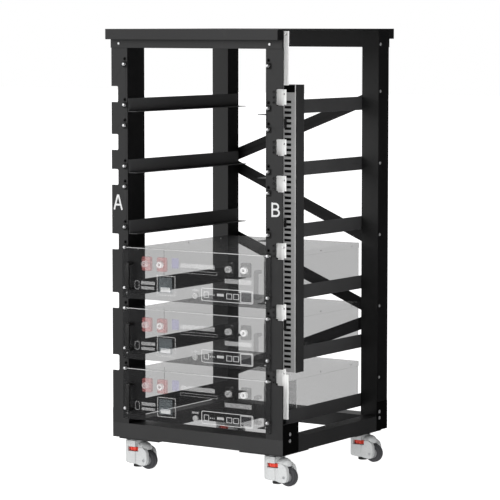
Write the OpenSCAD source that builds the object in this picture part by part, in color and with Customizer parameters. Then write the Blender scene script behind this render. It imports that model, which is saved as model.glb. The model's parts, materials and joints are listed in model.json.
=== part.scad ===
// Open-frame battery rack on levelling casters, with three sliding battery modules.
// Origin on the floor under the centre of the frame, front towards -Y, up is +Z.

/* [Rack frame] */
// Overall width of the frame
rack_w = 556; // [550:1:600]
// Depth between the front and rear faces of the posts
rack_d = 536; // [530:1:600]
// Height of the cover's top above the floor
rack_h = 1205; // [1200:1:1300]
// Height of the base frame's underside above the floor
base_z = 90; // [88:1:92]
// Height of the base beams
base_h = 40; // [35:1:45]
// Thickness of the folded sheet
sheet = 3; // [2:0.5:3]
// Width of a front post's face
post_face = 54; // [50:1:56]
// Depth of a front post's inner flange
post_flange = 78; // [60:1:80]
// Depth of a rear post
rear_post = 54; // [50:1:54]
// Overhang of the top cover at the front and the rear
cover_overhang = 27; // [25:1:30]
// Height of the top cover's folded edge
cover_h = 28; // [24:1:32]
// Height of the rails under the top cover
top_rail_h = 50; // [45:1:55]

/* [Slots] */
// Number of battery slots
slot_count = 6; // [1:1:6]
// Distance from one slot to the next
slot_pitch = 165.5; // [165:0.5:167]
// Height of the lowest shelf rail's underside above the floor
first_ledge_z = 154; // [150:1:156]
// Height of a shelf rail's web
rail_h = 37; // [30:1:40]
// Width of a shelf rail's ledge
rail_ledge = 28; // [20:1:30]
// Distance between the two columns of rack holes
hole_columns = 465.1; // [465:0.1:466]
// Distance between the two rack holes of a slot
hole_rows = 110; // [100:1:112]

/* [Battery module] */
// Number of modules, filled from the lowest slot
module_count = 3; // [1:1:3]
// Width of a module's front panel
panel_w = 482.6; // [480:0.1:484]
// Height of a module's front panel
panel_h = 140; // [138:1:142]
// Width of a module's case
case_w = 440; // [438:1:440]
// Depth of a module's case
case_d = 478; // [470:1:478]
// Height of a module's case
case_h = 126; // [124:1:127]

/* [Casters] */
// Diameter of a caster's wheel
wheel_d = 52; // [50:1:52]
// Distance from the swivel axis to the wheel's axle
caster_trail = 36; // [34:1:38]
// Distance of the swivel axis from the frame's outer faces
caster_inset = 49; // [46:1:52]

/* [Hidden] */
$fn = 48;
eps = 0.01;
front_y = -rack_d / 2;
rear_y = rack_d / 2;
side_x = rack_w / 2;
inner_x = side_x - post_face;
base_top = base_z + base_h;
cover_z = rack_h - cover_h;
post_top = rack_h - sheet;
foot_h = 40;
foot_d = 76;
rear_beam_d = 55;
side_beam_w = 40;
pad_h = 6;
pad_w = 134;
pad_inset = 12;
screw_z0 = first_ledge_z + 19;
// Heights of the centres of the six cable notches, from the top down
notch_z = [1029, 899, 804, 628, 467, 296];
notch_h = 43;
notch_depth = 22;
bar_y = front_y + 23;
bar_t = 5;
bar_w = 15;
bar_low = 183;
bar_high = 1200;
bar_x = 247;
tab_low_x = 240;
tab_high_x = 270;
tab_h = 40;
tab_bore_x = 265;
duct_y = front_y + post_flange - 7;
duct_x1 = side_x - 4;
duct_d = 33;
duct_low = 301;
duct_high = 1060;
duct_wall = 1.6;
slot_gap = 14;
duct_front_drop = 20;
brace_w = 33;
brace_t = 2.5;
panel_t = 3;
panel_drop = 10;
case_wall = 1.5;
screw_head_r = 4.5;
// Signs of the four corners: front left, front right, rear left, rear right
corners = [["fl", -1, -1], ["fr", 1, -1], ["rl", -1, 1], ["rr", 1, 1]];
caster_parts = ["housing", "axle", "wheel", "dial", "foot"];
module_parts = ["chassis", "lid", "panel", "handles", "terminals", "cells", "electronics",
                "breaker_lever", "power_button"];

function ledge_z(slot) = first_ledge_z + slot * slot_pitch;
function hole_z(slot, row) = screw_z0 + slot * slot_pitch + row * hole_rows;

// A block given by its low and high corners
module block(low, high) {
    translate(low)
        cube(high - low);
}

// The same children on the left and on the right
module both_sides() {
    for (side = [-1, 1])
        scale([side, 1, 1])
            children();
}

// A round bar that runs along Y from y0 to y1
module bar_along_y(x, z, r, y0, y1) {
    translate([x, y0, z])
        rotate([-90, 0, 0])
            cylinder(r = r, h = y1 - y0);
}

// A round bar that runs along X from x0 to x1
module bar_along_x(y, z, r, x0, x1) {
    translate([x0, y, z])
        rotate([0, 90, 0])
            cylinder(r = r, h = x1 - x0);
}

// A cross member as a folded channel, open below
module channel(low, high) {
    difference() {
        block(low, high);
        block(low + [sheet, sheet, -1], high - [sheet, sheet, sheet]);
    }
}

module base_frame() {
    color([0.2, 0.2, 0.2]) {
        channel([-side_x, front_y, base_z], [side_x, front_y + foot_d, base_top]);
        channel([-side_x, rear_y - rear_beam_d, base_z], [side_x, rear_y, base_top]);
        for (side = [-1, 1]) {
            low_x = side > 0 ? side_x - side_beam_w : -side_x;
            channel([low_x, front_y + foot_d, base_z],
                    [low_x + side_beam_w, rear_y - rear_beam_d, base_top]);
        }
        for (c = corners)
            caster_pad(c[1], c[2]);
    }
}

// The mounting plate under one corner, with the bolt hole of its caster
module caster_pad(sx, sy) {
    x0 = side_x - pad_inset - pad_w;
    y0 = rear_y - pad_inset - pad_w;
    difference() {
        scale([sx, sy, 1])
            block([x0, y0, base_z - pad_h], [x0 + pad_w, y0 + pad_w, base_z]);
        translate([sx * (side_x - caster_inset), sy * (rear_y - caster_inset), base_z - pad_h - 1])
            cylinder(r = 5.5, h = pad_h + 2);
    }
}

module front_posts() {
    color([0.22, 0.22, 0.22])
        difference() {
            both_sides()
                front_post();
            for (z = notch_z)
                for (step = [-1, 0, 1])
                    bar_along_y(side_x - notch_depth - 7, z + 14 * step, 1.8, front_y - 1, front_y + 9);
        }
}

// The right front post: a notched face, an inner flange and a foot
module front_post() {
    difference() {
        union() {
            block([inner_x, front_y, base_top], [side_x, front_y + sheet, post_top]);
            block([inner_x, front_y, base_top], [inner_x + sheet, front_y + post_flange, post_top]);
            block([side_x - sheet, front_y, base_top], [side_x, front_y + foot_d, base_top + foot_h]);
        }
        for (z = notch_z)
            cable_notch(z);
        for (slot = [0:slot_count - 1])
            for (row = [0, 1])
                rack_hole(hole_z(slot, row));
    }
}

// A square notch with rounded inner corners in the post's outer edge
module cable_notch(z) {
    r = 4;
    x0 = side_x - notch_depth;
    block([x0 + r, front_y - 1, z - notch_h / 2], [side_x + 1, front_y + 9, z + notch_h / 2]);
    block([x0, front_y - 1, z - notch_h / 2 + r], [side_x + 1, front_y + 9, z + notch_h / 2 - r]);
    for (dz = [-1, 1])
        bar_along_y(x0 + r, z + dz * (notch_h / 2 - r), r, front_y - 1, front_y + 9);
}

// The screw hole of a slot, with the small free hole above it
module rack_hole(z) {
    x = hole_columns / 2;
    bar_along_y(x, z, 3.25, front_y - 1, front_y + 9);
    bar_along_y(x, z + 14, 3.25, front_y - 1, front_y + 9);
}

module rear_posts() {
    color([0.15, 0.15, 0.15])
        both_sides()
            difference() {
                block([inner_x, rear_y - rear_post, base_top], [side_x, rear_y, post_top]);
                block([inner_x + sheet, rear_y - rear_post + sheet, base_top - 1],
                      [side_x - sheet, rear_y - sheet, post_top + 1]);
            }
}

module top_cover() {
    y0 = front_y - cover_overhang;
    y1 = rear_y + cover_overhang;
    color([0.2, 0.2, 0.2]) {
        block([-side_x, y0, rack_h - sheet], [side_x, y1, rack_h]);
        block([-side_x, y0, cover_z], [side_x, y0 + 2, rack_h - sheet + eps]);
        block([-side_x, y1 - 2, cover_z], [side_x, y1, rack_h - sheet + eps]);
        both_sides() {
            block([side_x - 2, y0, cover_z], [side_x, front_y - sheet, rack_h - sheet + eps]);
            block([side_x - 2, rear_y + sheet, cover_z], [side_x, y1, rack_h - sheet + eps]);
        }
    }
}

// The folded rail across the tops of two posts, in front of them or behind them
module top_rail(sign) {
    y = sign * rear_y;
    top = rack_h - sheet;
    y_out = y + sign * sheet;
    y_in = y - sign * 30;
    block([-side_x, min(y, y_out), top - top_rail_h + 2], [side_x, max(y, y_out), top]);
    block([-inner_x, min(y, y_in), top - sheet], [inner_x, max(y, y_in), top]);
}

module top_rails() {
    color([0.2, 0.2, 0.2]) {
        top_rail(-1);
        top_rail(1);
    }
}

module shelf_rails() {
    color([0.25, 0.25, 0.25])
        both_sides()
            for (slot = [0:slot_count - 1])
                shelf_rail(ledge_z(slot));
}

// One shelf rail: an upright web and a ledge that turns inward at its foot
module shelf_rail(z) {
    y0 = front_y + sheet;
    block([inner_x - 2, y0, z], [inner_x, rear_y - sheet, z + rail_h]);
    block([inner_x - rail_ledge, y0, z], [inner_x, rear_y - sheet, z + 2]);
}

// One flat bar across the back, from the left end's height to the right end's, with two bolt holes
module brace(z_left, z_right) {
    span = 2 * (inner_x + 20);
    angle = atan2(z_right - z_left, span);
    length = span / cos(angle);
    translate([0, rear_y + brace_t, (z_left + z_right) / 2])
        rotate([90, 0, 0])
            linear_extrude(height = brace_t)
                rotate(angle)
                    difference() {
                        square([length, brace_w], center = true);
                        for (x = [-1, 1])
                            translate([x * (length / 2 - 12), 0])
                                circle(r = 3.25);
                    }
}

module back_braces() {
    color([0.17, 0.17, 0.17]) {
        brace(838, 1024);
        brace(814, 607);
        brace(610, 414);
        brace(214, 400);
    }
}

// The centre of the caster at a corner
module at_caster(sx, sy) {
    translate([sx * (side_x - caster_inset), sy * (rear_y - caster_inset), 0])
        children();
}

swivel_top = base_z - pad_h;
pin_r = 8;
pin_low = 66;

module swivel_plates() {
    color([0.85, 0.85, 0.86])
        for (c = corners)
            at_caster(c[1], c[2]) {
                translate([0, 0, swivel_top - 3])
                    cylinder(r = 26, h = 3);
                translate([0, 0, pin_low])
                    cylinder(r = pin_r, h = swivel_top - pin_low - 2);
                translate([0, 0, swivel_top - 1])
                    cylinder(r = 5.4, h = pad_h + 1);
            }
}

drum_r = 27;
drum_low = 13;
drum_high = swivel_top - 3.4;
fork_w = 44;
wheel_t = 20;
stem_r = 6;
axle_r = 4;
dial_r = 24.5;
dial_low = 51;
dial_t = 10;
foot_r = 13;

// The die-cast body: a round drum over the foot and a fork around the wheel
module caster_housing() {
    color([0.93, 0.93, 0.93])
        difference() {
            union() {
                translate([0, 0, drum_low])
                    cylinder(r = drum_r, h = drum_high - drum_low);
                intersection() {
                    translate([caster_trail, fork_w / 2, wheel_d / 2 + 5])
                        rotate([90, 0, 0])
                            cylinder(r = 39, h = fork_w);
                    block([0, -fork_w / 2, 16], [56, fork_w / 2, drum_high]);
                }
            }
            translate([caster_trail, 13, wheel_d / 2])
                rotate([90, 0, 0])
                    cylinder(r = wheel_d / 2 + 3, h = 26);
            block([caster_trail - 4, -13, -1], [80, 13, wheel_d / 2 + 10]);
            for (side = [-1, 1])
                block([caster_trail + 12, min(side * 11, side * 40), 0],
                      [80, max(side * 11, side * 40), wheel_d + 4]);
            translate([0, 0, pin_low - 1])
                cylinder(r = pin_r + 0.05, h = 40);
            translate([0, 0, drum_low - 1])
                cylinder(r = stem_r + 0.05, h = dial_low);
            translate([0, 0, dial_low - 0.4])
                cylinder(r = dial_r + 0.5, h = dial_t + 0.8);
            block([-9, -60, dial_low - 0.4], [30, -3, dial_low + dial_t + 0.4]);
            bar_along_y(caster_trail, wheel_d / 2, axle_r, -40, 40);
            translate([0, 0, drum_low - 1])
                cylinder(r = foot_r + 1, h = 3);
        }
}

module caster_axle() {
    color([0.7, 0.7, 0.72])
        bar_along_y(caster_trail, wheel_d / 2, axle_r, -fork_w / 2 - 1, fork_w / 2 + 1);
}

// The wheel: a tyre with rounded shoulders and a bore that runs on the axle
module caster_wheel() {
    shoulder = 4;
    r = wheel_d / 2;
    color([0.25, 0.25, 0.26])
        translate([caster_trail, 0, r])
            rotate([90, 0, 0])
                rotate_extrude()
                    difference() {
                        union() {
                            translate([axle_r + 0.05, -wheel_t / 2])
                                square([r - shoulder - axle_r - 0.05, wheel_t]);
                            translate([axle_r + 0.05, shoulder - wheel_t / 2])
                                square([r - axle_r - 0.05, wheel_t - 2 * shoulder]);
                            for (side = [-1, 1])
                                translate([r - shoulder, side * (wheel_t / 2 - shoulder)])
                                    circle(r = shoulder);
                        }
                        for (side = [-1, 1])
                            translate([10, side * wheel_t / 2 - 1.5])
                                square([9, 3]);
                    }
}

// The red thumbwheel, notched all round for a finger
module caster_dial() {
    color([0.85, 0.15, 0.1])
        difference() {
            translate([0, 0, dial_low])
                cylinder(r = dial_r, h = dial_t);
            translate([0, 0, dial_low - 1])
                cylinder(r = stem_r + 0.05, h = dial_t + 2);
            for (a = [0:30:330])
                rotate(a)
                    translate([dial_r + 1.5, 0, dial_low - 1])
                        cylinder(r = 4, h = dial_t + 2);
        }
}

foot_low = 4.5;
foot_t = 8;
stem_top = 61.5;

// The levelling foot: a round pad on a threaded stem
module caster_foot() {
    color([0.3, 0.3, 0.3]) {
        translate([0, 0, foot_low])
            cylinder(r = foot_r, h = foot_t);
        translate([0, 0, foot_low + foot_t - 1])
            cylinder(r = stem_r, h = stem_top - foot_low - foot_t + 1);
    }
}

// A screw on a front post: its head in front of the sheet and its shank in the hole
module rack_screw(x, z) {
    bar_along_y(x, z, screw_head_r, front_y - 9, front_y);
    bar_along_y(x, z, 3, front_y - 1, front_y + 8);
}

// A low round head on a right-facing or left-facing face
module side_screw(side, y, z, r) {
    x = side * side_x;
    bar_along_x(y, z, r, min(x, x + side * 2.5), max(x, x + side * 2.5));
}

module fasteners() {
    color([0.9, 0.9, 0.9]) {
        for (side = [-1, 1])
            for (slot = [0:slot_count - 1])
                for (row = [0, 1])
                    rack_screw(side * hole_columns / 2, hole_z(slot, row));
        for (side = [-1, 1])
            for (z = [240, 440, 638, 836, 1034, 1163])
                side_screw(side, rear_y - 47, z, 4);
        for (side = [-1, 1])
            for (y = [front_y + 33, rear_y - 44])
                for (z = [125, 143])
                    side_screw(side, y, z, 5);
        for (x = [-side_x + 28, side_x - 40])
            bar_along_y(x, post_top - 36, 3.5, front_y - sheet - 2, front_y - sheet);
    }
}

// The comb-shaped bus bar: an upright strip with one tab behind each notch of the post. It is wider above
// and below the duct, where it stands clear of the post
module busbar() {
    color([0.88, 0.88, 0.87])
        difference() {
            union() {
                block([bar_x, bar_y, bar_low], [bar_x + bar_w, bar_y + bar_t, bar_high]);
                block([bar_x, bar_y, bar_low], [side_x, bar_y + bar_t, duct_low]);
                block([bar_x, bar_y, duct_high], [side_x, bar_y + bar_t, bar_high]);
                for (z = notch_z)
                    block([tab_low_x, bar_y, z - tab_h / 2], [tab_high_x, bar_y + bar_t, z + tab_h / 2]);
            }
            for (z = notch_z)
                bar_along_y(tab_bore_x, z + 8, 3.25, bar_y - 1, bar_y + bar_t + 1);
            bar_along_y(side_x - bar_w / 2, bar_high - 9, 3, bar_y - 1, bar_y + bar_t + 1);
        }
}

module busbar_insulators() {
    x0 = inner_x + sheet;
    x1 = bar_x + bar_w - 2;
    color([0.08, 0.08, 0.08]) {
        block([x0, bar_y, bar_low - 16], [x1, bar_y + 22, bar_low]);
        for (z = [430, 700, 960, 1150])
            block([x0, bar_y + bar_t, z - 12], [x1, bar_y + 22, z + 12]);
    }
}

// The wiring duct: a box open to the right, with a slotted front wall
module duct_body() {
    x0 = inner_x + sheet;
    x1 = duct_x1;
    y1 = duct_y + duct_d;
    slots = floor((duct_high - duct_front_drop - duct_low - slot_gap) / slot_gap);
    color([0.62, 0.62, 0.62])
        difference() {
            block([x0, duct_y, duct_low], [x1, y1, duct_high]);
            block([x0 + duct_wall, duct_y + duct_wall, duct_low - 1],
                  [x1 + 1, y1 - duct_wall, duct_high + 1]);
            for (i = [0:slots - 1])
                block([x0 + 8, duct_y - 1, duct_low + slot_gap * (i + 0.75)],
                      [x1 - 17, duct_y + duct_wall + 1, duct_low + slot_gap * (i + 1.25)]);
            block([x0 - 1, duct_y - 1, duct_high - duct_front_drop],
                  [x1 + 1, duct_y + duct_wall + 1, duct_high + 1]);
        }
}

module duct_cover() {
    color([0.3, 0.3, 0.3])
        block([duct_x1, duct_y - 0.6, duct_low], [duct_x1 + 2, duct_y + duct_d + 0.6, duct_high]);
}

// Everything on a module is placed from the underside of its slot's ledge
module at_slot(m) {
    translate([0, 0, ledge_z(m - 1)])
        children();
}

module_y = front_y - 0.3;
case_low = 2.3;
case_x = case_w / 2 - case_wall;
case_y1 = module_y + case_d;
case_top = case_low + case_h;

// The case: floor, two sides and a back, open at the front and the top, with a notch under the button
module module_chassis() {
    color([0.12, 0.12, 0.12])
        difference() {
            block([-case_x, module_y, case_low], [case_x, case_y1, case_top - case_wall]);
            block([-case_x + case_wall, module_y - 1, case_low + case_wall],
                  [case_x - case_wall, case_y1 - case_wall, case_top + 1]);
            block([button_x - 12, module_y - 1, case_low - 1],
                  [button_x + 12, module_y + 9, case_low + case_wall + 1]);
        }
}

// The lid: a flat top with a folded lip along each side
module module_lid() {
    lip = 14;
    color([0.16, 0.16, 0.16]) {
        block([-case_x, module_y, case_top - case_wall], [case_x, case_y1, case_top]);
        both_sides()
            difference() {
                block([case_x, module_y, case_top - lip], [case_w / 2, case_y1, case_top]);
                for (y = [module_y + 40, module_y + case_d / 2, case_y1 - 40])
                    bar_along_x(y, case_top - lip / 2, 1.6, case_x - 1, case_w / 2 + 1);
            }
    }
}

terminal_x = [-154, -104, 118, 168];
terminal_z = 89;
breaker_x = -97;
breaker_z = 36;
button_x = 2;
button_z = 11;
port_low = [21, 1];
port_high = [187, 34];

// The front panel, with its ears, in front of the posts
module module_panel() {
    z0 = -panel_drop;
    color([0.13, 0.13, 0.13])
        difference() {
            block([-panel_w / 2, module_y - panel_t, z0], [panel_w / 2, module_y, z0 + panel_h]);
            for (side = [-1, 1])
                for (row = [0, 1])
                    rack_screw_slot(side * hole_columns / 2, screw_z0 - first_ledge_z + row * hole_rows);
            for (x = terminal_x)
                bar_along_y(x, terminal_z, 5, module_y - panel_t - 1, module_y + 1);
            block([breaker_x - 27, module_y - panel_t - 1, breaker_z - 24],
                  [breaker_x + 27, module_y + 1, breaker_z + 24]);
            bar_along_y(button_x, button_z, 8.4, module_y - panel_t - 1, module_y + 1);
            block([port_low[0] + 6, module_y - panel_t - 1, port_low[1] + 5],
                  [port_high[0] - 6, module_y + 1, port_high[1] - 5]);
        }
}

// An ear's screw slot, wide enough to clear the screw's head
module rack_screw_slot(x, z) {
    bar_along_y(x, z, screw_head_r + 0.5, module_y - panel_t - 1, module_y + 1);
}

// A grip on each end of the panel: an upright bar on two legs
module module_handles() {
    y0 = front_y - cover_overhang;
    y1 = module_y - panel_t;
    low = 14;
    high = 92;
    color([0.08, 0.08, 0.08])
        both_sides()
            difference() {
                block([202, y0, low], [216, y1, high]);
                block([201, y0 + 8, low + 10], [217, y1 + 1, high - 10]);
            }
}

// Four posts: a square base on the panel with a round stud and its washer
module module_terminals() {
    for (i = [0:3])
        color(i < 2 ? [0.8, 0.1, 0.1] : [0.1, 0.1, 0.1])
            difference() {
                union() {
                    block([terminal_x[i] - 14, module_y - 15, terminal_z - 19],
                          [terminal_x[i] + 14, module_y - panel_t, terminal_z + 19]);
                    bar_along_y(terminal_x[i], terminal_z, 9, module_y - 24, module_y - 14);
                    bar_along_y(terminal_x[i], terminal_z, 4.9, module_y - panel_t - 1, module_y + 24);
                }
                bar_along_y(terminal_x[i], terminal_z, 4, module_y - 25, module_y - 8);
            }
}

cell_w = 158;
cell_t = 48;
cell_h = 112;
cell_pitch = 50;
cell_rows = 8;

// Two rows of prismatic cells, each with its two posts
module module_cells() {
    color([0.25, 0.4, 0.6])
        for (column = [-1, 1])
            for (i = [0:cell_rows - 1])
                translate([column * (cell_w / 2 + 1) - 30, case_y1 - 8 - cell_pitch * (i + 0.5),
                           case_low + case_wall]) {
                    block([-cell_w / 2, -cell_t / 2, 0], [cell_w / 2, cell_t / 2, cell_h]);
                    for (x = [-45, 45])
                        translate([x, 0, cell_h - 1])
                            cylinder(r = 7, h = 6);
                }
}

lever_y = module_y + 4.5;
lever_r = 6;
lever_pin_r = 2;
lever_rest = 28;

// The protection board, the breaker's body and the display and port block
module module_electronics() {
    z0 = case_low + case_wall;
    color([0.1, 0.35, 0.2]) {
        block([150, -150, z0], [156, 150, z0 + 100]);
        for (y = [-110:44:110])
            block([155, y - 12, z0 + 20], [175, y + 12, z0 + 80]);
        breaker_body();
        block([port_low[0] + 8, module_y + 0.5, port_low[1] + 6],
              [port_high[0] - 8, module_y + 14, port_high[1] - 6]);
    }
}

// The breaker's body, with a pocket and two bores for the lever's hub and pin
module breaker_body() {
    difference() {
        block([breaker_x - 22, module_y - 1.5, breaker_z - 22],
              [breaker_x + 22, module_y + 45, breaker_z + 22]);
        bar_along_x(lever_y, breaker_z, lever_r + 0.5, breaker_x - 7, breaker_x + 7);
        block([breaker_x - 7, module_y - 3, breaker_z - lever_r - 0.5],
              [breaker_x + 7, lever_y, breaker_z + lever_r + 0.5]);
        bar_along_x(lever_y, breaker_z, lever_pin_r + 0.05, breaker_x - 14, breaker_x + 14);
    }
}

// The breaker's lever: a hub on a pin, an arm and a wide finger bar, shown switched off
module module_breaker_lever() {
    color([0.35, 0.4, 0.42])
        translate([breaker_x, lever_y, breaker_z])
            rotate([lever_rest, 0, 0]) {
                bar_along_x(0, 0, lever_r, -6.5, 6.5);
                bar_along_x(0, 0, lever_pin_r, -13, 13);
                block([-6, -17, -2], [6, 0, 2]);
                block([-14, -20, -3], [14, -13, 3]);
            }
}

module module_power_button() {
    color([0.85, 0.85, 0.85]) {
        bar_along_y(button_x, button_z, 8, module_y - 7, module_y + 3);
        bar_along_y(button_x, button_z, 10, module_y + 1.2, module_y + 4);
    }
}

module caster_part(part) {
    if (part == "housing") caster_housing();
    if (part == "axle") caster_axle();
    if (part == "wheel") caster_wheel();
    if (part == "dial") caster_dial();
    if (part == "foot") caster_foot();
}

module module_part(part) {
    if (part == "chassis") module_chassis();
    if (part == "lid") module_lid();
    if (part == "panel") module_panel();
    if (part == "handles") module_handles();
    if (part == "terminals") module_terminals();
    if (part == "cells") module_cells();
    if (part == "electronics") module_electronics();
    if (part == "breaker_lever") module_breaker_lever();
    if (part == "power_button") module_power_button();
}

base_frame();
front_posts();
rear_posts();
top_cover();
top_rails();
shelf_rails();
back_braces();
swivel_plates();
fasteners();
busbar();
busbar_insulators();
duct_body();
duct_cover();
for (c = corners)
    for (p = caster_parts)
        at_caster(c[1], c[2]) caster_part(p);
for (m = [1:module_count])
    for (p = module_parts)
        at_slot(m) module_part(p);
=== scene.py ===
"""Looks for the battery rack: finishes for the CAD nodes, detailed pieces, light, floor and camera."""
import json
import math

import bmesh
import bpy
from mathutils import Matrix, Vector

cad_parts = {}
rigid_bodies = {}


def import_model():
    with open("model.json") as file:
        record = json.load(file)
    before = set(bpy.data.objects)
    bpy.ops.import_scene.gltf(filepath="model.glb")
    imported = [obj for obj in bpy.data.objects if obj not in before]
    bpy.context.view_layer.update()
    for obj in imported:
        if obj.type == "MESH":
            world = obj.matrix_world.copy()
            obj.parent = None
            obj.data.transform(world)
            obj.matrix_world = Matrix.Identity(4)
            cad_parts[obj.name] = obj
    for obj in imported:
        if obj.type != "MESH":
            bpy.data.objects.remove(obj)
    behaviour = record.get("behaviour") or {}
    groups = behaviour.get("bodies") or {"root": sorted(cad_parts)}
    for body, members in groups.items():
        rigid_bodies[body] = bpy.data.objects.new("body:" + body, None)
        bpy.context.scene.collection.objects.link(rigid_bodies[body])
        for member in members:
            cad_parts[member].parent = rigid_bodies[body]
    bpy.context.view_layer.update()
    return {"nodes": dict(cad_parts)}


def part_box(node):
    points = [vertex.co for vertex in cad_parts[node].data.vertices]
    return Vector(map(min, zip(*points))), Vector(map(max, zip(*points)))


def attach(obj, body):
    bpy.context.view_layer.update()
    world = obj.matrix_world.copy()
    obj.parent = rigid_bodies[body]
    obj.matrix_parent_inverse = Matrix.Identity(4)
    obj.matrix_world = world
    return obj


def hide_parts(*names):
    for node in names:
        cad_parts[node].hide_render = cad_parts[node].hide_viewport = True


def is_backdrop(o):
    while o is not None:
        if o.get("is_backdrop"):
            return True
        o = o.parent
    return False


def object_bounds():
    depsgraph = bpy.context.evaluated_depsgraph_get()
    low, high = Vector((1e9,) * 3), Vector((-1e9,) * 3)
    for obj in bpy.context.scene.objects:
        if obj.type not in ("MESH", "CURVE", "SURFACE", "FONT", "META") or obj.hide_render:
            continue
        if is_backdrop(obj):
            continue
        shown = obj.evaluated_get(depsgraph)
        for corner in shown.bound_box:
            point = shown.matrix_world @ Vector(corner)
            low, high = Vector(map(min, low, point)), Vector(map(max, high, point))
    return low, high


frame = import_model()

MM = 0.001
TAU = 2 * math.pi
scene = bpy.context.scene
nodes = frame["nodes"]
CORNERS = ("fl", "fr", "rl", "rr")
MODULES = (1, 2, 3)


# ---------------------------------------------------------------- materials

def new_node(tree, kind, **values):
    """Adds a shader node and sets its inputs by name."""
    node = tree.nodes.new(kind)
    for name, value in values.items():
        node.inputs[name.replace("_", " ")].default_value = value
    return node


def noise(tree, where, scale, detail, stretch=None):
    """A noise texture in the object's own coordinates, stretched along an axis if asked."""
    node = new_node(tree, "ShaderNodeTexNoise", Scale=scale, Detail=detail)
    if stretch is None:
        tree.links.new(where.outputs["Object"], node.inputs["Vector"])
    else:
        mapping = new_node(tree, "ShaderNodeMapping", Scale=stretch)
        tree.links.new(where.outputs["Object"], mapping.inputs["Vector"])
        tree.links.new(mapping.outputs["Vector"], node.inputs["Vector"])
    return node.outputs["Fac"]


def ramp(tree, source, low, high, at=(0.3, 0.7)):
    """A two-stop colour ramp driven by source."""
    node = tree.nodes.new("ShaderNodeValToRGB")
    for stop, place, colour in zip(node.color_ramp.elements, at, (low, high)):
        stop.position = place
        stop.color = (*colour, 1)
    tree.links.new(source, node.inputs["Fac"])
    return node.outputs["Color"]


BROAD = 7.0         # scale of the broad changes of tone
SCUFFS = 46.0       # scale of the worn spots
SWING = 0.08        # how far roughness varies to either side


def finish(name, colour, rough=0.5, metal=0.0, grain=900.0, bump=0.2, tone=0.12,
           wear=None, alpha=1.0, specular=0.5, coat=0.0, stretch=None):
    """A procedural finish: changes of tone, sparse wear, and fine grain in colour, bump and roughness."""
    mat = bpy.data.materials.new(name)
    mat.use_nodes = True
    tree = mat.node_tree
    shader = tree.nodes["Principled BSDF"]
    where = tree.nodes.new("ShaderNodeTexCoord")
    broad_noise = noise(tree, where, BROAD, 4.0)
    fine_noise = noise(tree, where, grain, 2.0, stretch)
    low = tuple(c * (1 - tone) for c in colour)
    high = tuple(min(1, c * (1 + tone)) for c in colour)
    base = ramp(tree, broad_noise, low, high)
    speckle = tree.nodes.new("ShaderNodeMix")
    speckle.data_type = "RGBA"
    speckle.blend_type = "MULTIPLY"
    speckle.inputs["Factor"].default_value = 0.6
    tree.links.new(base, speckle.inputs["A"])
    tree.links.new(ramp(tree, fine_noise, (0.72, 0.72, 0.72), (1, 1, 1)), speckle.inputs["B"])
    shown = speckle.outputs["Result"]
    if wear is not None:
        worn = tree.nodes.new("ShaderNodeMix")
        worn.data_type = "RGBA"
        scuffs = noise(tree, where, SCUFFS, 6.0, (1, 1, 0.25))
        amount = ramp(tree, scuffs, (0, 0, 0), (0.55, 0.55, 0.55), (0.66, 0.8))
        tree.links.new(amount, worn.inputs["Factor"])
        tree.links.new(shown, worn.inputs["A"])
        worn.inputs["B"].default_value = (*wear, 1)
        shown = worn.outputs["Result"]
    tree.links.new(shown, shader.inputs["Base Color"])
    spread = new_node(tree, "ShaderNodeMapRange",
                      To_Min=max(0.05, rough - SWING), To_Max=min(1, rough + SWING))
    tree.links.new(fine_noise, spread.inputs["Value"])
    tree.links.new(spread.outputs["Result"], shader.inputs["Roughness"])
    relief = new_node(tree, "ShaderNodeBump", Strength=bump, Distance=0.0004)
    tree.links.new(fine_noise, relief.inputs["Height"])
    tree.links.new(relief.outputs["Normal"], shader.inputs["Normal"])
    shader.inputs["Metallic"].default_value = metal
    shader.inputs["Specular IOR Level"].default_value = specular
    shader.inputs["Coat Weight"].default_value = coat
    shader.inputs["Alpha"].default_value = alpha
    return mat


def paint(name, colour, rough=0.52, **more):
    """A fine-grained powder coat."""
    return finish(name, colour, rough, grain=1400, bump=0.25, **more)


powder = paint("powder_coat_black", (0.012, 0.012, 0.0125), wear=(0.03, 0.03, 0.03))
# The base is painted lighter than the rest of the black powder coat, as painted light on its faces
base_coat_painted_light = paint("powder_coat_base_painted_lighter", (0.02, 0.02, 0.0205), wear=(0.04, 0.04, 0.04))
# The foot brackets are painted darker than the black powder coat, with little sheen, as painted shade
bracket_coat_painted_shade = finish("bracket_painted_shade", (0.004, 0.004, 0.004), 0.7, specular=0.1)
# The rear posts are painted darker than the front ones, as painted shade
rear_coat_painted_shade = paint("powder_coat_rear_painted_darker", (0.008, 0.008, 0.0083), wear=(0.02, 0.02, 0.02))
# The shelf rails are painted much lighter than the black powder coat, as painted light on their faces
rail_coat_painted_light = paint("powder_coat_rail_painted_lighter", (0.042, 0.042, 0.043), 0.5, wear=(0.05, 0.05, 0.05))
# The back braces are painted darker than the black powder coat, as painted shade
brace_coat_painted_shade = paint("powder_coat_brace_painted_darker", (0.006, 0.006, 0.0063), 0.5, specular=0.3)
zinc = finish("zinc_plate", (0.62, 0.63, 0.65), 0.34, 0.9, grain=300, bump=0.12, tone=0.15)
screw_zinc = finish("screw_zinc", (0.86, 0.86, 0.87), 0.32, 0.6, grain=600, bump=0.1)
tinned = finish("tinned_copper", (0.9, 0.9, 0.89), 0.4, 0.1, grain=260, bump=0.12, tone=0.06,
                stretch=(1, 1, 0.08))
insulator = finish("insulator", (0.008, 0.008, 0.008), 0.55, grain=700)
duct_plastic = finish("duct_plastic", (0.34, 0.34, 0.34), 0.55, grain=500, bump=0.12, tone=0.06)
duct_lid = finish("duct_lid", (0.02, 0.02, 0.0205), 0.5, grain=500, bump=0.12, tone=0.08)
duct_edge = finish("duct_edge", (0.55, 0.55, 0.55), 0.5, grain=500, bump=0.1, tone=0.05)
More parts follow.
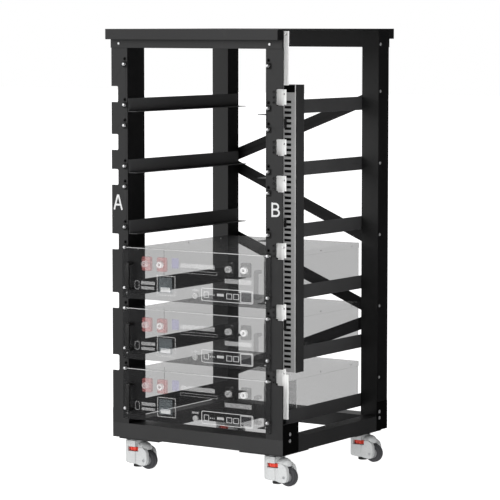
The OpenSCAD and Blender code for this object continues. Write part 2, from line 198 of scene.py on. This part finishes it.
shadow_gap = finish("shadow_gap", (0.003, 0.003, 0.003), 0.8, grain=500)
enamel = finish("caster_enamel", (0.62, 0.63, 0.63), 0.38, grain=420, bump=0.18, tone=0.04, coat=0.15)
tyre = finish("caster_tyre", (0.05, 0.05, 0.055), 0.62, grain=800, bump=0.3)
tread = finish("caster_tread", (0.12, 0.12, 0.125), 0.66, grain=800, bump=0.3)
hub = finish("caster_hub", (0.3, 0.3, 0.31), 0.5, grain=500, bump=0.15)
red_plastic = finish("red_plastic", (0.83, 0.06, 0.03), 0.36, grain=500, bump=0.12, tone=0.08, coat=0.2)
rubber = finish("foot_rubber", (0.02, 0.02, 0.02), 0.75, grain=700, bump=0.35)
letter_white = finish("letter_white", (0.85, 0.85, 0.85), 0.6, grain=900, bump=0.1, tone=0.03)


def ghost(name, colour, alpha, rough=0.5, **more):
    """A see-through finish for the battery modules."""
    return finish(name, colour, rough, alpha=alpha, bump=0.1, **more)


shell_ghost = ghost("module_shell", (0.02, 0.02, 0.021), 0.42, grain=1100)
side_ghost = ghost("module_side", (0.02, 0.02, 0.021), 0.2)
grip_ghost = ghost("module_grip", (0.006, 0.006, 0.006), 0.8, 0.4)
grip_faint = ghost("module_grip_faint", (0.012, 0.012, 0.012), 0.15, 0.45)
line_ghost = ghost("module_line", (0.88, 0.88, 0.88), 0.42)
mark_ghost = ghost("module_mark", (0.85, 0.85, 0.85), 0.17)
faint_line = ghost("module_faint_line", (0.85, 0.85, 0.85), 0.24)
label_ghost = ghost("module_label", (0.88, 0.88, 0.88), 0.45)
ring_ghost = ghost("module_ring", (0.9, 0.9, 0.9), 0.5, 0.35)
ring_dim = ghost("module_ring_dim", (0.9, 0.9, 0.9), 0.2, 0.35)
red_ghost = ghost("terminal_red", (0.6, 0.2, 0.2), 0.24, 0.4)
black_ghost = ghost("terminal_black", (0.03, 0.03, 0.03), 0.2, 0.4)
badge_ghost = ghost("module_badge", (0.32, 0.3, 0.62), 0.16)
glass_ghost = ghost("module_display", (0.05, 0.05, 0.055), 0.25, 0.15)
breaker_ghost = ghost("breaker", (0.3, 0.34, 0.36), 0.14, 0.45)
button_ghost = ghost("power_button", (0.88, 0.88, 0.88), 0.45, 0.3, metal=0.3)


# ---------------------------------------------------------------- geometry helpers

def box(bm, low, high):
    """A block given by its low and high corners in millimetres."""
    (x0, y0, z0), (x1, y1, z1) = low, high
    v = [bm.verts.new(Vector(c) * MM) for c in (
        (x0, y0, z0), (x1, y0, z0), (x1, y1, z0), (x0, y1, z0),
        (x0, y0, z1), (x1, y0, z1), (x1, y1, z1), (x0, y1, z1))]
    for f in ((3, 2, 1, 0), (4, 5, 6, 7), (0, 1, 5, 4), (1, 2, 6, 5), (2, 3, 7, 6), (3, 0, 4, 7)):
        bm.faces.new([v[i] for i in f])


def turned(bm, profile, centre, axis, segments=40):
    """A lathed solid around axis through centre, in millimetres.

    The profile is a closed run of (along, radius) pairs.
    """
    a, b = {"x": (1, 2), "y": (2, 0), "z": (0, 1)}[axis]
    main = "xyz".index(axis)
    rings = []
    for along, radius in profile:
        if radius < 1e-6:
            p = [0, 0, 0]
            p[main] = along
            rings.append([bm.verts.new((Vector(p) + Vector(centre)) * MM)])
            continue
        ring = []
        for i in range(segments):
            p = [0, 0, 0]
            p[main] = along
            p[a] = radius * math.cos(TAU * i / segments)
            p[b] = radius * math.sin(TAU * i / segments)
            ring.append(bm.verts.new((Vector(p) + Vector(centre)) * MM))
        rings.append(ring)
    closed = profile[0][1] > 1e-6
    pairs = list(zip(rings, rings[1:])) + ([(rings[-1], rings[0])] if closed else [])
    for one, two in pairs:
        for i in range(segments):
            j = (i + 1) % segments
            corners = [one[i % len(one)], one[j % len(one)], two[j % len(two)], two[i % len(two)]]
            corners = [c for k, c in enumerate(corners) if c not in corners[:k]]
            if len(corners) > 2:
                bm.faces.new(corners)


def disc(bm, centre, axis, radius, start, end, soft=0.6, segments=32):
    """A short round bar with softened rims."""
    profile = [(start, 0), (start, radius - soft), (start + math.copysign(soft, end - start), radius),
               (end - math.copysign(soft, end - start), radius), (end, radius - soft), (end, 0)]
    turned(bm, profile, centre, axis, segments)


def ring(bm, centre, axis, inner, outer, start, end, segments=36):
    """A flat ring."""
    turned(bm, [(start, inner), (start, outer), (end, outer), (end, inner)], centre, axis, segments)


def rounded(x0, z0, x1, z1, r, steps=5):
    """The outline of a rounded rectangle, in the X-Z plane."""
    points = []
    corners = ((x1 - r, z0 + r, 270), (x1 - r, z1 - r, 0), (x0 + r, z1 - r, 90), (x0 + r, z0 + r, 180))
    for cx, cz, start in corners:
        for i in range(steps + 1):
            t = math.radians(start + 90 * i / steps)
            points.append((cx + r * math.cos(t), cz + r * math.sin(t)))
    return points


def slab(bm, outline, y0, y1):
    """A plate with an outline in the X-Z plane, from y0 to y1."""
    front = [bm.verts.new(Vector((x, y0, z)) * MM) for x, z in outline]
    back = [bm.verts.new(Vector((x, y1, z)) * MM) for x, z in outline]
    n = len(outline)
    bm.faces.new(front)
    bm.faces.new(back[::-1])
    for i in range(n):
        bm.faces.new((front[(i + 1) % n], front[i], back[i], back[(i + 1) % n]))


def surround(bm, outer, inner, y0, y1):
    """A flat frame between two outlines with as many points each."""
    n = len(outer)
    loops = [[bm.verts.new(Vector((x, y, z)) * MM) for x, z in line]
             for line, y in ((outer, y0), (outer, y1), (inner, y1), (inner, y0))]
    for one, two in zip(loops, loops[1:] + loops[:1]):
        for i in range(n):
            j = (i + 1) % n
            bm.faces.new((one[i], one[j], two[j], two[i]))


def framed(bm, x0, z0, x1, z1, r, width, inner_r, y0, y1):
    """A flat rounded frame, width wide, inside the rectangle from x0, z0 to x1, z1."""
    surround(bm, rounded(x0, z0, x1, z1, r),
             rounded(x0 + width, z0 + width, x1 - width, z1 - width, inner_r), y0, y1)


def soften(obj, width, segments=2, angle=40):
    """Rounds the edges of obj that turn by more than angle."""
    mod = obj.modifiers.new("edges", "BEVEL")
    mod.width = width * MM
    mod.segments = segments
    mod.limit_method = "ANGLE"
    mod.angle_limit = math.radians(angle)


def piece(name, bm, mat, body, stands_for=(), bevel=0.0, parts=2, smooth=35):
    """Makes one object from a bmesh: a finish, softened edges, and the body it rides on."""
    bmesh.ops.recalc_face_normals(bm, faces=bm.faces)
    mesh = bpy.data.meshes.new(name)
    bm.to_mesh(mesh)
    bm.free()
    obj = bpy.data.objects.new(name, mesh)
    scene.collection.objects.link(obj)
    mesh.materials.append(mat)
    mesh.shade_smooth()
    mesh.set_sharp_from_angle(angle=math.radians(smooth))
    if bevel:
        soften(obj, bevel, parts)
    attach(obj, body)
    if stands_for:
        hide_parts(*stands_for)
    return obj


def solid(bm):
    """A bare object from a bmesh, to be combined with another."""
    bmesh.ops.recalc_face_normals(bm, faces=bm.faces)
    mesh = bpy.data.meshes.new("tool")
    bm.to_mesh(mesh)
    bm.free()
    obj = bpy.data.objects.new("tool", mesh)
    scene.collection.objects.link(obj)
    return obj


def combine(obj, tool, operation):
    """Joins tool to obj, or cuts it away, and removes tool."""
    mod = obj.modifiers.new("combine", "BOOLEAN")
    mod.operation = operation
    mod.solver = "EXACT"
    mod.object = tool
    graph = bpy.context.evaluated_depsgraph_get()
    mesh = bpy.data.meshes.new_from_object(obj.evaluated_get(graph))
    obj.modifiers.clear()
    obj.data = mesh
    bpy.data.objects.remove(tool)


def coat(node, mat, bevel=0.0):
    """Gives a CAD node its finish, and softens its edges with modifiers only."""
    obj = nodes[node]
    obj.data.materials.clear()
    obj.data.materials.append(mat)
    if bevel:
        weld = obj.modifiers.new("weld", "WELD")
        weld.merge_threshold = 0.02 * MM
        soften(obj, bevel, angle=50)


# ---------------------------------------------------------------- CAD nodes that keep their shape

for name, mat, bevel in (
        ("base_frame", base_coat_painted_light, 0.8), ("front_posts", powder, 0.5), ("rear_posts", rear_coat_painted_shade, 0.8),
        ("top_cover", powder, 0.5), ("top_rails", powder, 0.6), ("shelf_rails", rail_coat_painted_light, 0.5),
        ("back_braces", brace_coat_painted_shade, 0.5), ("swivel_plates", zinc, 0.4), ("busbar", tinned, 0.4),
        ("busbar_insulators", insulator, 0.6), ("duct_body", duct_plastic, 0.3),
        ("duct_cover", duct_lid, 0.3)):
    coat(name, mat, bevel)
for c in CORNERS:
    coat(f"caster_{c}_axle", zinc, 0.5)
    coat(f"caster_{c}_foot", rubber, 0.6)


# ---------------------------------------------------------------- screws, letters, trims and painted shadows on the rack

base_low, base_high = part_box("base_frame")
SIDE = base_high.x / MM
FRONT = base_low.y / MM
REAR = base_high.y / MM
COLUMN = 465.1 / 2      # from the middle to a column of screws
PITCH = 165.5           # from slot to slot
LEDGE = 154.0           # underside of the lowest slot's ledge
SCREW = 173.0           # the lowest screw
ROW = 110.0             # from a slot's lower screw to its upper one
SLOTS = 6
SIDE_SCREWS = (240, 440, 638, 836, 1034, 1163)      # heights
FOOT_SCREWS = (125, 143)                            # heights
NOTCHES = (1029, 899, 804, 628, 467, 296)           # heights of the notches' middles
RACK_SCREW = ((-9, 0), (-9, 1.6), (-8.4, 3.2), (-6.6, 4.3), (-4, 4.5), (-1.2, 4.5), (-1.2, 3), (8, 3), (8, 0))

bm = bmesh.new()
# Painted shadows: a dark rim round each screw, reaching further to the right and down, and a dark ring for
# the small hole above it
screw_shadows = bmesh.new()
for side in (-1, 1):
    x = side * COLUMN
    for k in range(SLOTS):
        for row in (0, 1):
            z = SCREW + k * PITCH + row * ROW
            turned(bm, RACK_SCREW, (x, FRONT, z), "y", 24)
            surround(screw_shadows, rounded(x - 6, z - 9.5, x + 9.5, z + 7.5, 3),
                     rounded(x - 3.1, z - 3.1, x + 3.1, z + 3.1, 3), FRONT - 0.26, FRONT - 0.04)
            ring(screw_shadows, (x, FRONT, z + 14), "y", 2.9, 5.4, 3.06, 11, 20)
            ring(screw_shadows, (x, FRONT, z + 14), "y", 3.2, 5.2, -0.26, -0.04, 20)
for side in (-1, 1):
    for z in SIDE_SCREWS:
        disc(bm, (side * SIDE, REAR - 47, z), "x", 4, 0, side * 2.5, 0.8, 24)
    for y in (FRONT + 33, REAR - 44):
        for z in FOOT_SCREWS:
            disc(bm, (side * SIDE, y, z), "x", 5, 0, side * 2.5, 0.9, 24)
for x in (-SIDE + 28, SIDE - 40):
    disc(bm, (x, FRONT - 3, 1166), "y", 3.5, 0, -2, 0.6, 24)
piece("rack_screws", bm, screw_zinc, "rack", ("fasteners",))
piece("rack_screw_painted_shadows", screw_shadows, shadow_gap, "rack")

# Painted shade: dark rings standing in for the three small holes beside each notch of the right post
bm = bmesh.new()
for z in NOTCHES:
    for dz in (-14, 0, 14):
        ring(bm, (SIDE - 29, FRONT, z + dz), "y", 1.75, 3.4, -0.3, -0.04, 20)
piece("notch_hole_painted_shade", bm, shadow_gap, "rack")

# Foot brackets: thin plates over the ends of the side beams, painted near black with little sheen as painted
# shade
bm = bmesh.new()
for side in (-1, 1):
    x0, x1 = sorted((side * (SIDE + 0.05), side * (SIDE + 0.5)))
    box(bm, (x0, FRONT, 90.5), (x1, FRONT + 76, 170))
    box(bm, (x0, REAR - 58, 90.5), (x1, REAR, 170))
piece("foot_brackets", bm, bracket_coat_painted_shade, "rack", bevel=0.15)


STROKE = 5.0        # width of a letter's strokes
RAISED = 0.35       # how far they stand out
LAYER = 0.04        # how much further each next stroke does, where they overlap


def letter(name, strokes, x0, z0, w, h, y):
    """A plain letter of thin raised strokes. Each is a run of points, from 0 to 1 across and up."""
    bm = bmesh.new()
    for layer, run in enumerate(strokes):
        points = [Vector((x0 + px * w, z0 + pz * h)) for px, pz in run]
        left, right = [], []
        for i, p in enumerate(points):
            before = points[max(i - 1, 0)]
            after = points[min(i + 1, len(points) - 1)]
            along = (after - before).normalized()
            across = Vector((-along.y, along.x)) * STROKE / 2
            left.append(p + across)
            right.append(p - across)
        outline = left + right[::-1]
        n = len(points)
        front = [bm.verts.new(Vector((q.x, y - RAISED - LAYER * layer, q.y)) * MM) for q in outline]
        back = [bm.verts.new(Vector((q.x, y, q.y)) * MM) for q in outline]
        for i in range(n - 1):
            j, k = 2 * n - 1 - i, 2 * n - 2 - i
            bm.faces.new((front[i], front[i + 1], front[k], front[j]))
            bm.faces.new((back[j], back[k], back[i + 1], back[i]))
        for i in range(2 * n):
            bm.faces.new((front[i], back[i], back[(i + 1) % (2 * n)], front[(i + 1) % (2 * n)]))
    piece(name, bm, letter_white, "rack")


def arc(cx, cz, rx, rz, start, end, steps=10):
    """Points on part of an ellipse, from one angle to another."""
    angles = [math.radians(start + (end - start) * i / steps) for i in range(steps + 1)]
    return [(cx + rx * math.cos(t), cz + rz * math.sin(t)) for t in angles]


letter("post_letter_A", [[(0.09, 0), (0.47, 0.98)], [(0.91, 0), (0.53, 0.98)], [(0.22, 0.33), (0.78, 0.33)]],
       -273, 715, 32, 42, FRONT)
letter("post_letter_B", [[(0.13, 0), (0.13, 1)],
                         [(0.13, 0.92), (0.5, 0.92)] + arc(0.5, 0.72, 0.33, 0.2, 80, -80) + [(0.13, 0.52)],
                         [(0.13, 0.52), (0.55, 0.52)] + arc(0.55, 0.3, 0.37, 0.22, 80, -80) + [(0.13, 0.08)]],
       241, 717, 27, 38, FRONT)

# The duct's lighter edge strip, the dark line beside its cover, and a dark sheet inside it as painted shade
duct_low, duct_high = (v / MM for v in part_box("duct_body"))
bm = bmesh.new()
box(bm, (duct_high.x - 5.5, duct_low.y - 0.5, duct_low.z), (duct_high.x - 2.2, duct_low.y, duct_high.z))
piece("duct_edge_strip", bm, duct_edge, "rack", bevel=0.15)
bm = bmesh.new()
box(bm, (duct_high.x - 2, duct_low.y - 0.55, duct_low.z), (duct_high.x, duct_low.y, duct_high.z))
piece("duct_cover_groove", bm, shadow_gap, "rack", bevel=0.1)
# A dark sheet inside the duct: painted shade that makes the slots look black
bm = bmesh.new()
box(bm, (duct_low.x + 1.8, duct_low.y + 2.4, duct_low.z + 0.5),
    (duct_high.x - 0.3, duct_low.y + 3, duct_high.z - 1))
piece("duct_painted_shade", bm, shadow_gap, "rack", bevel=0.1)


# ---------------------------------------------------------------- caster bodies and wheels

CASTER_TOP = 80.5           # height of the body's top
DRUM_BACK = 9               # from the swivel axis back to the middle of the drum
HOOD_AHEAD = 20.5           # from the swivel axis ahead to the middle of the hood
AXLE = (36, 26)             # from the swivel axis ahead to the axle, and its height
CHEEK = ((0, 16), (12, 15), (20, 12.5), (31, 11.5), (40, 13), (44.5, 20), (46, 32), (45, 46), (41, 55),
         (32, 61), (0, 62))
DRUM = ((15, 0), (15, 23), (16.5, 26), (20, 27), (75, 27), (79, 25.5), (CASTER_TOP, 22), (CASTER_TOP, 0))
HOOD = ((54, 0), (54, 21.5), (60, 22), (65, 20.5), (70, 16.5), (74, 10), (76, 0))


def bar(start, end, radius):
    """The profile of a plain round bar."""
    return ((start, 0), (start, radius), (end, radius), (end, 0))


def caster_body(c):
    """The smooth die-cast body: a drum, two cheeks beside the wheel and a hood, cut out for its parts."""
    low, high = (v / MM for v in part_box(f"caster_{c}_dial"))
    x, y = (low.x + high.x) / 2, (low.y + high.y) / 2
    bm = bmesh.new()
    turned(bm, DRUM, (x - DRUM_BACK, y, 0), "z", 56)
    body = piece(f"caster_{c}_body", bm, enamel, f"caster_{c}_swivel", (f"caster_{c}_housing",))
    tools = []

    # Neck, cheeks and hood
    bm = bmesh.new()
    box(bm, (x - DRUM_BACK, y - 26.5, 15.5), (x + 8.6, y + 26.5, CASTER_TOP - 1.5))
    tools.append((bm, "UNION"))
    for side in (-1, 1):
        bm = bmesh.new()
        slab(bm, [(x + px, pz) for px, pz in CHEEK], y + side * 12.6, y + side * 24.5)
        tools.append((bm, "UNION"))
    bm = bmesh.new()
    turned(bm, HOOD, (x + HOOD_AHEAD, y, 0), "z", 56)
    tools.append((bm, "UNION"))

    # The thumbwheel's window and room, the stem's and the pin's bores, the foot's recess, the axle's bore
    bm = bmesh.new()
    box(bm, (x - 16, y - 60, low.z - 1.6), (x + 18, y - 3, high.z + 1))
    tools.append((bm, "DIFFERENCE"))
    for cut in ((low.z - 0.4, high.z + 0.4, 25), (5, 64, 6.2), (65, 90, 8.2), (5, 16, 14)):
        bm = bmesh.new()
        turned(bm, bar(*cut), (x, y, 0), "z", 48)
        tools.append((bm, "DIFFERENCE"))
    bm = bmesh.new()
    turned(bm, bar(-40, 40, 4.15), (x + AXLE[0], y, AXLE[1]), "y", 32)
    tools.append((bm, "DIFFERENCE"))

    for bm, operation in tools:
        combine(body, solid(bm), operation)
    body.data.materials.clear()
    body.data.materials.append(enamel)
    body.data.shade_smooth()
    body.data.set_sharp_from_angle(angle=math.radians(35))
    soften(body, 1.2, 3)


for c in CORNERS:
    caster_body(c)
    coat(f"caster_{c}_dial", red_plastic, 0.5)
for c in CORNERS:
    low, high = (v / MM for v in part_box(f"caster_{c}_wheel"))
    centre = (low + high) / 2
    r = (high.z - low.z) / 2
    half = (high.y - low.y) / 2
    bm = bmesh.new()
    profile = [(-half + 1.5, 14)]
    for i in range(9):
        t = math.radians(-90 + 180 * i / 8)
        along = half * (0.55 * math.sin(t) + 0.45 * math.sin(t) * abs(math.sin(t)))
        profile.append((along, r - 3.4 * (1 - math.cos(t)) ** 1.2))
    profile.append((half - 1.5, 14))
    turned(bm, profile, centre, "y", 64)
    piece(f"caster_{c}_tyre", bm, tyre, f"caster_{c}_roller", (f"caster_{c}_wheel",),
          smooth=50)
    bm = bmesh.new()
    for y in (-3.6, 0, 3.6):
        turned(bm, [(y - 1.1, r - 1), (y - 1.1, r - 0.12), (y + 1.1, r - 0.12), (y + 1.1, r - 1)],
               centre, "y", 64)
    piece(f"caster_{c}_tread", bm, tread, f"caster_{c}_roller")
    bm = bmesh.new()
    turned(bm, [(-half + 2.4, 4.1), (-half + 0.6, 6.5), (-half + 0.6, 8), (-half + 2.6, 10),
                (-half + 2.2, 14.2), (half - 2.2, 14.2), (half - 2.6, 10), (half - 0.6, 8),
                (half - 0.6, 6.5), (half - 2.4, 4.1)], centre, "y", 48)
    piece(f"caster_{c}_hub", bm, hub, f"caster_{c}_roller", smooth=50)


# ---------------------------------------------------------------- battery modules

PANEL_Y = FRONT - 3.3               # face of the panel
BACK_Y = FRONT - 0.3 + 478          # back of the case
CASE = 218.5                        # half the case's width
LID = 220                           # half the lid's width
LID_Z = (114.3, 128.3)              # the lid's lower edge and its top, above the ledge's underside
PANEL = 241.3                       # half the panel's width
GRIP_X = (203.5, 214.5)             # a grip's inner and outer side
GRIP_OUTER = ((0, 14.5), (17, 14.5), (21.5, 16.5), (23.4, 21), (23.4, 85), (21.5, 89.5), (17, 91.5),
              (0, 91.5))
GRIP_INNER = ((0, 23.5), (14, 23.5), (15.2, 24), (15.6, 25.4), (15.6, 80.6), (15.2, 82), (14, 82.5),
              (0, 82.5))
TERMINALS = (("positive", red_ghost, ((-154, ring_dim), (-104, ring_ghost))),
             ("negative", black_ghost, ((118, ring_dim), (168, ring_ghost))))
PANEL_SCREWS = ((-150, 114), (-100, 114), (120, 104), (120, 80), (170, 104), (170, 80), (-226, 6), (226, 6))


def module(m):
    """One see-through battery module in its slot: a closed shell with the details of its front panel."""
    z = LEDGE + (m - 1) * PITCH
    body = f"module_{m}"
    name = f"module_{m}_"
    y = PANEL_Y
    skin = y - 0.02         # just clear of the panel's face
    lid_low, lid_top = (z + up for up in LID_Z)

    bm = bmesh.new()
    slab(bm, [(-CASE, z + 2.3), (CASE, z + 2.3), (CASE, lid_low), (LID, lid_low), (LID, lid_top),
              (-LID, lid_top), (-LID, lid_low), (-CASE, lid_low)], FRONT - 1.5, BACK_Y)
    case = piece(name + "shell", bm, shell_ghost, body,
                 [name + part for part in ("chassis", "lid", "panel", "cells", "electronics")])
    bm = bmesh.new()
    slab(bm, rounded(-PANEL, z - 10, PANEL, z + 130, 2.5), y, y + 3)
    combine(case, solid(bm), "UNION")
    soften(case, 0.6)

    # A painted highlight along the panel's top edge, and the seams and screws of the lid
    bm = bmesh.new()
    box(bm, (-240.5, y - 0.1, z + 127.9), (240.5, y + 0.7, z + 130))
    for side in (-1, 1):
        x0, x1 = sorted((side * 218.6, side * 219.2))
        box(bm, (x0, -109.6, z + 4), (x1, -108, z + 113.5))
        for py in (FRONT + 40, 11, REAR - 98):
            disc(bm, (side * 219, py, z + 121.3), "x", 2.4, 0, side * 0.99, 0.3, 18)
    piece(name + "edge_highlight_and_seams", bm, line_ghost, body)
    bm = bmesh.new()
    box(bm, (218.6, FRONT + 1, z + 4), (219, -110, z + 113.5))
    piece(name + "side_section", bm, side_ghost, body)

    # Grips
    for side, place, mat in ((-1, "left", grip_ghost), (1, "right", grip_faint)):
        bm = bmesh.new()
        low, high = GRIP_X
        loops = [[bm.verts.new(Vector((side * px, y - out, z + up)) * MM) for out, up in line]
                 for line, px in ((GRIP_OUTER, low), (GRIP_OUTER, high),
                                  (GRIP_INNER, high), (GRIP_INNER, low))]
        last = len(GRIP_OUTER) - 1
        for one, two in zip(loops, loops[1:] + loops[:1]):
            for i in range(last):
                bm.faces.new((one[i], one[i + 1], two[i + 1], two[i]))
        for i in (0, last):
            bm.faces.new([loop[i] for loop in loops])
        piece(f"{name}grip_{place}", bm, mat, body, (name + "handles",) if side < 0 else (),
              bevel=1.2, parts=3)

    # Terminals: square bases, round studs with a washer and a screw each
    tz = z + 89
    for pole, base_mat, studs in TERMINALS:
        bm = bmesh.new()
        for x, _ in studs:
            slab(bm, rounded(x - 14, tz - 19, x + 14, tz + 19, 3.5), y - 11, skin)
        piece(name + pole + "_bases", bm, base_mat, body,
              (name + "terminals",) if pole == "positive" else (), bevel=1.0)
        for i, (x, mat) in enumerate(studs):
            bm = bmesh.new()
            turned(bm, [(y - 11.1, 4.2), (y - 11.1, 9), (y - 19.5, 9), (y - 20.3, 8.2), (y - 20.3, 4.2)],
                   (x, 0, tz), "y", 32)
            piece(f"{name}{pole}_stud_{i + 1}", bm, mat, body)

    # Small panel screws and guide dots
    bm = bmesh.new()
    for x, up in PANEL_SCREWS:
        disc(bm, (x, y, z + up), "y", 2.4 if abs(x) > 160 else 2.1, 0, -1.2, 0.3, 16)
    piece(name + "panel_screws", bm, mark_ghost, body)

    # Breaker: an outlined window around its body
    bm = bmesh.new()
    framed(bm, -125, z + 5, -64, z + 59, 1.5, 2, 1.0, y - 0.7, skin)
    piece(name + "breaker_outline", bm, faint_line, body)
    bm = bmesh.new()
    slab(bm, rounded(-119, z + 12, -75, z + 54, 1.5), y - 0.9, skin)
    piece(name + "breaker_face", bm, breaker_ghost, body, bevel=0.3)
    bm = bmesh.new()
    slab(bm, rounded(-113, z + 15, -81, z + 27, 1.0), y - 1.2, y - 0.95)
    piece(name + "breaker_label", bm, label_ghost, body)

    # Display, switches and ports inside an outlined area
    bm = bmesh.new()
    framed(bm, 21, z - 1, 187, z + 34, 5, 1.6, 4, y - 0.6, skin)
    framed(bm, 147, z + 2, 184, z + 31.5, 1.2, 1.6, 0.8, y - 0.9, skin)
    framed(bm, 29, z + 8, 45, z + 24, 1.5, 1.4, 1, y - 0.7, skin)
    for x in (50, 56, 62):
        disc(bm, (x, y, z + 16), "y", 1.6, 0, -0.9, 0.3, 14)
    for i in range(6):
        box(bm, (72 + i * 3.7, y - 0.9, z + 14), (74.4 + i * 3.7, y - 0.05, z + 21))
    for x in (102, 124):
        framed(bm, x, z + 8, x + 18, z + 23, 1.2, 1.4, 0.8, y - 0.7, skin)
    piece(name + "port_outlines", bm, line_ghost, body)
    bm = bmesh.new()
    slab(bm, rounded(149, z + 4, 182, z + 29.5, 0.8), y - 0.5, skin)
    for x in (104, 126):
        slab(bm, rounded(x, z + 10, x + 14, z + 21, 0.6), y - 0.4, skin)
    piece(name + "display_glass", bm, glass_ghost, body)

    # Blank plates and bars where the panel is printed
    bm = bmesh.new()
    plate = y - 0.3
    slab(bm, rounded(-48, z + 83.5, 64, z + 95.5, 1.2), plate, skin)
    framed(bm, -48, z + 69, 72, z + 77, 1.0, 1, 0.7, plate, skin)
    slab(bm, rounded(-178, z + 31, -132, z + 40, 1.0), plate, skin)
    slab(bm, rounded(-178, z + 18, -134, z + 26, 1.0), plate, skin)
    framed(bm, -200, z + 17, -184, z + 41, 6, 1.6, 5, plate, skin)
    slab(bm, rounded(96, z + 50, 182, z + 62, 1.2), plate, skin)
    slab(bm, rounded(-11, z + 23.5, 12, z + 29, 0.8), plate, skin)
    piece(name + "blank_plates", bm, mark_ghost, body)
    bm = bmesh.new()
    slab(bm, rounded(-76, z + 80, -53, z + 108, 1.2), plate, skin)
    piece(name + "blank_badge", bm, badge_ghost, body)

    # Power button
    bm = bmesh.new()
    turned(bm, [(y - 3.6, 5), (y - 4, 6.2), (y - 3.6, 7.8), (y + 2.6, 7.8), (y + 2.6, 5)],
           (2, 0, z + 11), "y", 36)
    disc(bm, (2, 0, z + 11), "y", 4, y + 2, y - 2.6, 0.6, 28)
    piece(name + "button", bm, button_ghost, f"module_{m}_button", (name + "power_button",))

    # Breaker lever
    coat(name + "breaker_lever", breaker_ghost)


for m in MODULES:
    module(m)


# ---------------------------------------------------------------- floor, light and camera

FLOOR = 30000       # from the middle to each side
bm = bmesh.new()
box(bm, (-FLOOR, -FLOOR, -20), (FLOOR, FLOOR, -0.05))
floor_mesh = bpy.data.meshes.new("floor")
bm.to_mesh(floor_mesh)
bm.free()
floor = bpy.data.objects.new("floor", floor_mesh)
scene.collection.objects.link(floor)
floor_mat = bpy.data.materials.new("pale_floor")
floor_mat.use_nodes = True
floor_shader = floor_mat.node_tree.nodes["Principled BSDF"]
floor_shader.inputs["Base Color"].default_value = (0.9, 0.9, 0.9, 1)
floor_shader.inputs["Roughness"].default_value = 0.9
floor_shader.inputs["Specular IOR Level"].default_value = 0.1
floor_shader.inputs["Emission Color"].default_value = (1, 1, 1, 1)
floor_shader.inputs["Emission Strength"].default_value = 0.95
floor_mesh.materials.append(floor_mat)
floor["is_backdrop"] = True
floor.visible_glossy = False        # so that the dark sheet metal does not mirror it

# The world lights from the left and fades out to the right, and the camera sees it white
world = bpy.data.worlds.new("studio")
scene.world = world
world.use_nodes = True
sky = world.node_tree
sky.nodes.clear()
direction = sky.nodes.new("ShaderNodeTexCoord")
parts = sky.nodes.new("ShaderNodeSeparateXYZ")
sky.links.new(direction.outputs["Generated"], parts.inputs["Vector"])
from_right = new_node(sky, "ShaderNodeMapRange", From_Min=-0.6, From_Max=0.3, To_Min=0.85, To_Max=0.0)
sky.links.new(parts.outputs["X"], from_right.inputs["Value"])
light = sky.nodes.new("ShaderNodeBackground")
sky.links.new(from_right.outputs["Result"], light.inputs["Strength"])
backdrop = sky.nodes.new("ShaderNodeBackground")
for shade in (light, backdrop):
    shade.inputs["Color"].default_value = (1, 1, 1, 1)
seen = sky.nodes.new("ShaderNodeLightPath")
mix = sky.nodes.new("ShaderNodeMixShader")
sky.links.new(seen.outputs["Is Camera Ray"], mix.inputs["Fac"])
sky.links.new(light.outputs["Background"], mix.inputs[1])
sky.links.new(backdrop.outputs["Background"], mix.inputs[2])
out = sky.nodes.new("ShaderNodeOutputWorld")
sky.links.new(mix.outputs["Shader"], out.inputs["Surface"])


def area_light(name, place, target, size, power, lit=None):
    """A soft square light at place, turned towards target, in metres.

    With lit, only those objects receive it.
    """
    data = bpy.data.lights.new(name, "AREA")
    data.size = size
    data.energy = power
    obj = bpy.data.objects.new(name, data)
    scene.collection.objects.link(obj)
    obj.location = place
    obj.rotation_euler = (Vector(target) - Vector(place)).to_track_quat("-Z", "Y").to_euler()
    if lit is not None:
        receivers = bpy.data.collections.new(name + "_lit")
        for o in lit:
            receivers.objects.link(o)
        obj.light_linking.receiver_collection = receivers


area_light("key_front", (-1.2, -4.2, 2.2), (0, 0, 0.6), 2.2, 55)

# The fill reaches only what is lighter on the right side
right_side = [nodes[n] for n in ("base_frame", "shelf_rails", "duct_body", "duct_cover", "busbar")]
right_side += [o for o in scene.objects if o.name.startswith("caster_") and o.type == "MESH"]
right_side += [o for o in scene.objects if o.name.startswith(("module_", "duct_edge"))]
area_light("fill_right", (0.95, -0.75, 0.75), (0.25, -0.1, 0.6), 0.8, 9, right_side)

camera = bpy.data.objects.new("camera", bpy.data.cameras.new("camera"))
scene.collection.objects.link(camera)
camera.location = (3.7615, -5.6240, 1.2246)
camera.rotation_euler = (math.radians(84.704), 0, math.radians(33.81))
camera.data.lens = 177.43
camera.data.sensor_width = 36
scene.camera = camera
scene.view_settings.view_transform = "Standard"

low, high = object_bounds()
